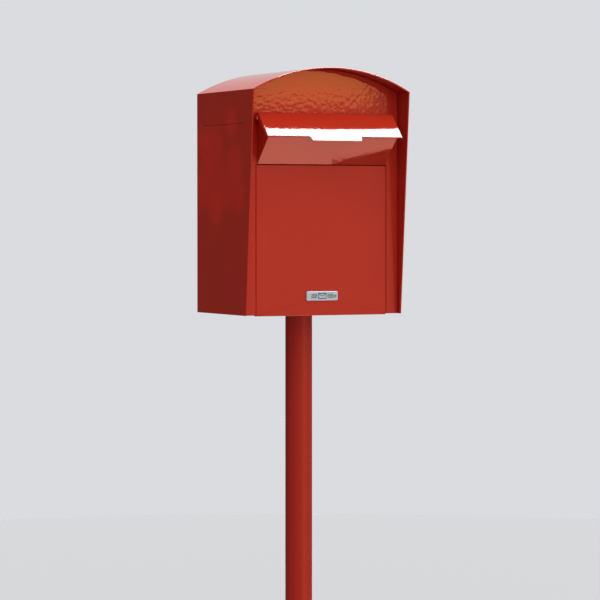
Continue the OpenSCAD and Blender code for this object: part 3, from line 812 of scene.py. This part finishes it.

# %% [markdown]
# ## Rivets and the flap's pin
#
# The rivet heads take the case's red coat and the pin is a turned steel rod. Small metal catches
# the light, so heads are domed and never flat discs. Each is a short profile carried round its
# axis, as a lathe does it.

# %% Rivets and the flap's pin
rivet_y, rivet_z = 0.5 * (rivet_low + rivet_high)[1:]
heads = [revolved(dome(RIVET_R, 1.2, 4.0), (sign * case_half, rivet_y, rivet_z), sign * X, Z, 40)
         for sign in (-1, 1)]
make_piece("bead_rivets", heads, enamel, "case", ["side_rivets"])

PIN_R = 3.0
pin_parts = [revolved(dome(PIN_R + 1.5, 2.0, 0.4), (sign * flap_half, *pivot), sign * X, Z, 48)
             for sign in (-1, 1)]
rod = np.array([[PIN_R, -flap_half], [PIN_R, flap_half],
                [PINHOLE, flap_half], [PINHOLE, -flap_half]])
pin_parts.append(revolved(rod, (0, *pivot), X, Z, 40))
make_piece("flap_pin_bright", pin_parts, bright, "flap", ["flap_pin"])

# %% [markdown]
# ## The lock cover
#
# The cover is a stamped aluminium plate with its rim turned back. The press leaves its face a
# little crowned, so it shades from end to end where a flat plate would mirror one spot. Inside the
# rim's rings the face is filled with the same outline at ever smaller scales.

# %% Lock cover
COVER_T, COVER_CROWN, CROWNED_TO, COVER_CORNER = 1.2, 0.35, 1.7, 3.0
RIM_DEPTH, RIM_BEND = 2.4, 1.6


def on_cover(rings):
    """Rings of (across, up, depth) set on the cover. What lies near its face, and not down its rim,
    sinks with the square of the distance from the middle."""
    at_face = rings[..., 2] < CROWNED_TO
    rings[..., 2] += COVER_CROWN * (rings[..., 0] / cover_half[0]) ** 2 * at_face
    return place(rings, (cover_middle[0], cover_low[1], cover_middle[2]), X, Z, Y)


def cover_surface():
    """A rounded rectangle with a turned rim, between its face and its back, each of which is the
    rim's first or last ring at smaller scales."""
    outline = rounded(rectangle(cover_half[0], -cover_half[2], cover_half[2]), COVER_CORNER)
    rim = stack(outline, flange_section(RIM_DEPTH, RIM_BEND, COVER_T))
    scale = np.linspace(0.02, 0.9, 8)[:, None, None]
    face, back = rim[0, :, :2] * scale, rim[-1, :, :2] * scale[::-1]
    return skin(on_cover(np.concatenate([np.insert(face, 2, 0.0, axis=2), rim,
                                         np.insert(back, 2, COVER_T, axis=2)])))


make_piece("cover_plate", [cover_surface()], anodised, "cover", ["lock_cover"])

# %% [markdown]
# ## The printed mark
#
# The mark is screen printed: a plain envelope between two groups of waves, as a postmark has. A
# texture would need UVs and an image. Here each line is a ribbon of ink 0.06 mm thick, which
# follows the cover's crown.

# %% Printed mark
PRINT_T, PRINT_FOOT = 0.06, 0.05
ENVELOPE_HALF, ENVELOPE_UP, FLAP_TIP = 9.0, 5.6, (0, -0.6)
BORDER_LINE, FLAP_LINE, WAVE_LINE = 1.8, 1.5, 1.6
WAVE_START, WAVE_RUN, WAVE_LENGTH, WAVE_APART = 12.5, 14.5, 7.25, 3.4


def ribbon(line, width):
    """A thin printed line: the path moved half a width to each side, and given the ink's depth."""
    line = np.asarray(line, float)
    along = unit(np.gradient(line, axis=0))
    side = np.stack([-along[:, 1], along[:, 0]], axis=1) * 0.5 * width
    outline = np.concatenate([line + side, (line - side)[::-1]])
    rings = np.stack([np.insert(outline, 2, depth, axis=1) for depth in (-PRINT_T, PRINT_FOOT)])
    return skin(on_cover(rings), "zip")


corners = rectangle(ENVELOPE_HALF, -ENVELOPE_UP, ENVELOPE_UP)
ends = [(corners[i], corners[(i + 1) % 4], BORDER_LINE) for i in range(4)]
ends += [(corners[i], FLAP_TIP, FLAP_LINE) for i in (3, 2)]
lines = [ribbon(np.linspace(start, end, 12), width) for start, end, width in ends]
wave_x = np.linspace(0, WAVE_RUN, 40)
wave_up = np.sin(2 * np.pi * wave_x / WAVE_LENGTH)
for sign in (-1, 1):
    for level in (-WAVE_APART, 0.0, WAVE_APART):
        wave = np.stack([sign * (WAVE_START + wave_x), level + wave_up], axis=1)
        lines.append(ribbon(wave, WAVE_LINE))
make_piece("printed_mark", lines, ink, "cover")

# %% [markdown]
# ## The post and its foot
#
# The post is a 60 mm tube, welded to a square plate with four open holes for ground anchors. The
# bead of weld at its foot shows the welder's steps as ripples under the paint. The plate is made
# in four quarters, each a pierced plate round its own hole, that meet without a line.

# %% Post, weld and base plate
post_r = post_high[0]
POST_WALL = 2.0
tube = folded([(post_r, post_low[2]), (post_r, post_high[2])], thickness=-POST_WALL, edge=0.5)
make_piece("post", [revolved(tube, (0, 0, 0), Z, X, 128)], post_enamel, "case",
           ["post_tube"])

WELD_STEPS, WELD_OUT, WELD_UP = 54, 4.2, 3.6


def weld_surface():
    """A ring of oval section round the post's foot. Its size swells and falls once per welder's
    step, with a slower wander on top."""
    around = np.linspace(0, 2 * np.pi, 432, endpoint=False)[None]
    section = np.linspace(0, 2 * np.pi, 14, endpoint=False)[:, None]
    swell = 1 + 0.11 * np.abs(np.sin(0.5 * WELD_STEPS * around)) + 0.05 * np.sin(3 * around + 1)
    r = post_r + 0.6 + WELD_OUT * swell * np.cos(section)
    z = base_high[2] + 0.3 + WELD_UP * swell * np.sin(section)
    return skin(np.stack([r * np.cos(around), r * np.sin(around), z], axis=-1), "loop")


make_piece("post_weld", [weld_surface()], post_enamel, "case")

ANCHOR_S, ANCHOR_R, BASE_CORNER, BASE_EDGE = 190.0, 6.0, 12.0, 0.7


def base_surfaces():
    """Each quarter is a square with one round outer corner and a hole. Its inner sides lie on the
    plate's centre lines and stay open, so that the quarters join into one skin, and its outer sides
    and the hole have a small round."""
    half, thick = base_high[0], base_high[2]
    t = np.linspace(0, np.pi / 2, 9)
    corner = half - BASE_CORNER * (1 - np.stack([np.cos(t), np.sin(t)], axis=1))
    quarter = np.concatenate([[[0, 0], [half, 0]], corner, [[0, half]]])
    section = edge_section(thick, BASE_EDGE)
    surfaces = []
    for sx, sy in ((1, 1), (-1, 1), (-1, -1), (1, -1)):
        outer = (quarter * [sx, sy])[::sx * sy]
        centre = np.array([sx, sy]) * ANCHOR_S / 2
        rim, opening = rims(outer, circle(centre, ANCHOR_R, 40), centre)
        rings = stack(rim, section)
        rings[..., :2] = np.where(np.abs(rim) < 0.01, 0.0, rings[..., :2])
        rings = np.concatenate([stack(opening, section[::-1] * [-1, 1]), rings])
        points, faces = skin(place(rings, (0, 0, thick), X, Y, -Z), "loop")
        faces = np.array(faces)
        on_seam = (np.abs(points[faces][..., :2]) < 0.01).all(axis=1).any(axis=1)
        surfaces.append((points, faces[~on_seam].tolist()))
    return surfaces


make_piece("foot_plate", base_surfaces(), post_enamel, "case", ["base_plate"])

# %% [markdown]
# ## Finishes for the parts that stay as they are
#
# The inner parts already have their true shapes in the frame, so they only need their finishes:
# the same coat on the steel inside, zinc on the fasteners and the lock, rubber and nylon.

# %% Finishes on CAD parts
FINISHES = [
    (enamel, ["floor_panel", "chute_baffle", "baffle_rivets", "door_stiffener"]),
    (nylon, ["flap_spacers", "door_bushes"]),
    (rubber, ["flap_bumpers", "door_seal"]),
    (bright, ["door_pins", "lock_plug", "cover_rivet"]),
    (zinc, ["lock_body", "lock_nut", "lock_cam", "cam_screw", "lock_keeper", "keeper_rivets",
            "floor_doubler", "mount_screws", "mount_washers", "post_head"]),
]
for finish, nodes in FINISHES:
    for node in nodes:
        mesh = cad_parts[node].data
        mesh.materials.clear()
        mesh.materials.append(finish)
print("finishes on", sum(len(nodes) for _, nodes in FINISHES), "CAD parts")

# %% [markdown]
# ## The floor
#
# The stage is a pale disc, a millimetre under the base plate. Reflections and bounced light don't
# see it, because the world below already gives both.

# %% Floor
FLOOR_R, FLOOR_Z, FLOOR_POINTS = 3.2, -0.001, 96
floor_mesh = bpy.data.meshes.new("floor")
floor_points = np.insert(circle((0, 0), FLOOR_R, FLOOR_POINTS), 2, FLOOR_Z, axis=1)
floor_mesh.from_pydata(floor_points, [], [list(range(FLOOR_POINTS))])
floor = add_object("floor", floor_mesh)
floor_material, floor_tree, _ = new_material("pale_floor")
pale = add(floor_tree, "BsdfDiffuse", {"Color": colour("#B6B7B9")})
add(floor_tree, "OutputMaterial", {}, {"Surface": pale.outputs["BSDF"]})
floor_mesh.materials.append(floor_material)
floor.visible_glossy = False
floor.visible_diffuse = False
print(f"floor {2 * FLOOR_R:.1f} m across")

# %% [markdown]
# ## The sky
#
# A gloss coat shows its own red, lit by the whole sky, and a mirror image of what stands round it,
# so the world is two skies. The first lights the red, mostly from the front and above, which
# leaves the left side darker. The second is what the gloss mirrors: a soft patch overhead, warm
# ground below, a fainter patch in front and one behind, and dim elsewhere so that the red stays
# deep. Each is a base grey with round patches laid over it: the cosine of the angle to a patch's
# middle, stretched from 0 at its wide limit to 1 at its narrow one. The camera sees a plain
# backdrop.

# %% World
# Each layer: towards, narrow and wide limits in degrees, and its light.
LIGHTING = (0.21, [((0, 0, -1), 20, 100, (0.10, 0.10, 0.10)),
                   ((0.32, -0.68, 0.66), 0, 90, (1.34, 1.34, 1.34))])
MIRRORED = (0.10, [((0, 0, 1), 40, 78, (0.75, 0.75, 0.75)),
                   ((0.43, -0.9, -0.05), 6, 30, (0.36, 0.30, 0.24)),
                   ((-0.43, 0.9, 0), 20, 45, (0.04, 0.04, 0.04)),
                   ((0.35, 0.9, 0.22), 10, 22, (0.60, 0.60, 0.60)),
                   ((0.2, 0, -1), 25, 60, (4.0, 1.55, 1.15))])
world = bpy.data.worlds.new("studio_sky")
bpy.context.scene.world = world
world.use_nodes = True
sky = world.node_tree
sky.nodes.clear()
look = add(sky, "TexCoord")
ray = add(sky, "LightPath")
skies = []
for base, layers in (LIGHTING, MIRRORED):
    under = {}
    for towards, narrow, wide, light in layers:
        aim = unit(np.array(towards, float)).tolist()
        near = add(sky, "VectorMath", {"operation": "DOT_PRODUCT", 1: aim},
                   {0: look.outputs["Generated"]})
        far, full = np.cos(np.radians([wide, narrow])).tolist()
        share = add(sky, "MapRange",
                    {"From Min": far, "From Max": full, "interpolation_type": "SMOOTHSTEP"},
                    {"Value": near.outputs["Value"]})
        layer = add(sky, "Mix",
                    {"data_type": "RGBA", 6: (base, base, base, 1.0), 7: (*light, 1.0)},
                    {0: share.outputs["Result"], **under})
        under = {6: layer.outputs[2]}
    skies.append(under[6])
lit = add(sky, "Mix", {"data_type": "RGBA"},
          {0: ray.outputs["Is Glossy Ray"], 6: skies[0], 7: skies[1]})
backdrop = add(sky, "Mix", {"data_type": "RGBA", 7: colour("#DADCDF")},
               {0: ray.outputs["Is Camera Ray"], 6: lit.outputs[2]})
emit = add(sky, "Background", {}, {"Color": backdrop.outputs[2]})
add(sky, "OutputWorld", {}, {"Surface": emit.outputs["Background"]})
print("sky layers", len(LIGHTING[1]), "that light and", len(MIRRORED[1]), "that are mirrored")

# %% [markdown]
# ## The lights
#
# The tilted flap mirrors the bright card overhead as a white band. A small warm card, linked to
# the front sheet alone, gives that its orange reflection. A broad high sun, which the gloss
# doesn't mirror, draws the shade under roof and flap. Eight narrow spots lay soft patches on the
# left side, as light through leaves does.

# %% Lights


def card(name, centre, turn, size, radiance, tint, spread=180):
    """A rectangular light that only reflections see. It faces down and is then turned by the three
    angles in degrees. Its power is its radiance times its area times pi."""
    light = bpy.data.lights.new(name, "AREA")
    light.shape = "RECTANGLE"
    light.size, light.size_y = size
    light.energy = radiance * size[0] * size[1] * np.pi
    light.color = tint
    light.spread = np.radians(spread)
    obj = add_object(name, light, centre, turn)
    obj.visible_diffuse = False
    obj.visible_camera = False
    return obj


card("overhead_card", (0.80, -0.30, 2.75), (0, 0, 0), (1.7, 1.5), 18.0, (1, 1, 1))
warm_card = card("warm_card", (1.250, -2.8, 1.478), (90, 0, 25.1), (0.44, 0.20), 0.29,
                 (1.0, 0.36, 0.07), spread=50)
receivers = bpy.data.collections.new("warm_card_receivers")
receivers.objects.link(front_sheet)
warm_card.light_linking.receiver_collection = receivers

sun = bpy.data.lights.new("high_sky", "SUN")
sun.energy = 2.4
sun.angle = 0.7
add_object("high_sky", sun, turn=(-23, 0, 0)).visible_glossy = False

# Each fleck: y and z in metres, and half its cone's angle in degrees.
FLECKS = [(-0.055, 1.222, 1.3), (0.04, 1.165, 2.0), (-0.075, 1.13, 1.6), (0.09, 1.09, 2.2),
          (-0.01, 1.075, 1.8), (0.10, 1.185, 1.2), (-0.09, 1.06, 1.5), (0.03, 1.03, 1.3)]
FLECK_X, FLECK_POWER, FLECK_TINT = -2.19, 17.0, (1.0, 0.1, 0.45)
for number, (fleck_y, fleck_z, half_cone) in enumerate(FLECKS):
    fleck = bpy.data.lights.new(f"fleck_{number}", "SPOT")
    fleck.energy = FLECK_POWER
    fleck.color = FLECK_TINT
    fleck.spot_size = np.radians(2 * half_cone)
    fleck.spot_blend = 1.0
    fleck_object = add_object(f"fleck_{number}", fleck, (FLECK_X, fleck_y, fleck_z), (0, -90, 0))
    fleck_object.visible_glossy = False
print("lights", len(bpy.data.lights))

# %% [markdown]
# ## The camera
#
# A long lens from about six metres keeps the verticals nearly parallel. It stands to the left of
# the front and looks very slightly down. The Standard view transform keeps the red saturated.

# %% Camera
CAMERA_AT = (-2.6428, -5.5533, 1.0174)
HEADING, DOWN = -25.477, 1.758
camera_data = bpy.data.cameras.new("camera")
camera_data.lens = 165.0
camera_data.sensor_width = 36.0
camera_data.clip_end = 60.0
camera = add_object("camera", camera_data, CAMERA_AT, (90 - DOWN, 0, HEADING))
bpy.context.scene.camera = camera
bpy.context.scene.view_settings.view_transform = "Standard"
print(f"camera with a {camera_data.lens:.0f} mm lens at {CAMERA_AT}")
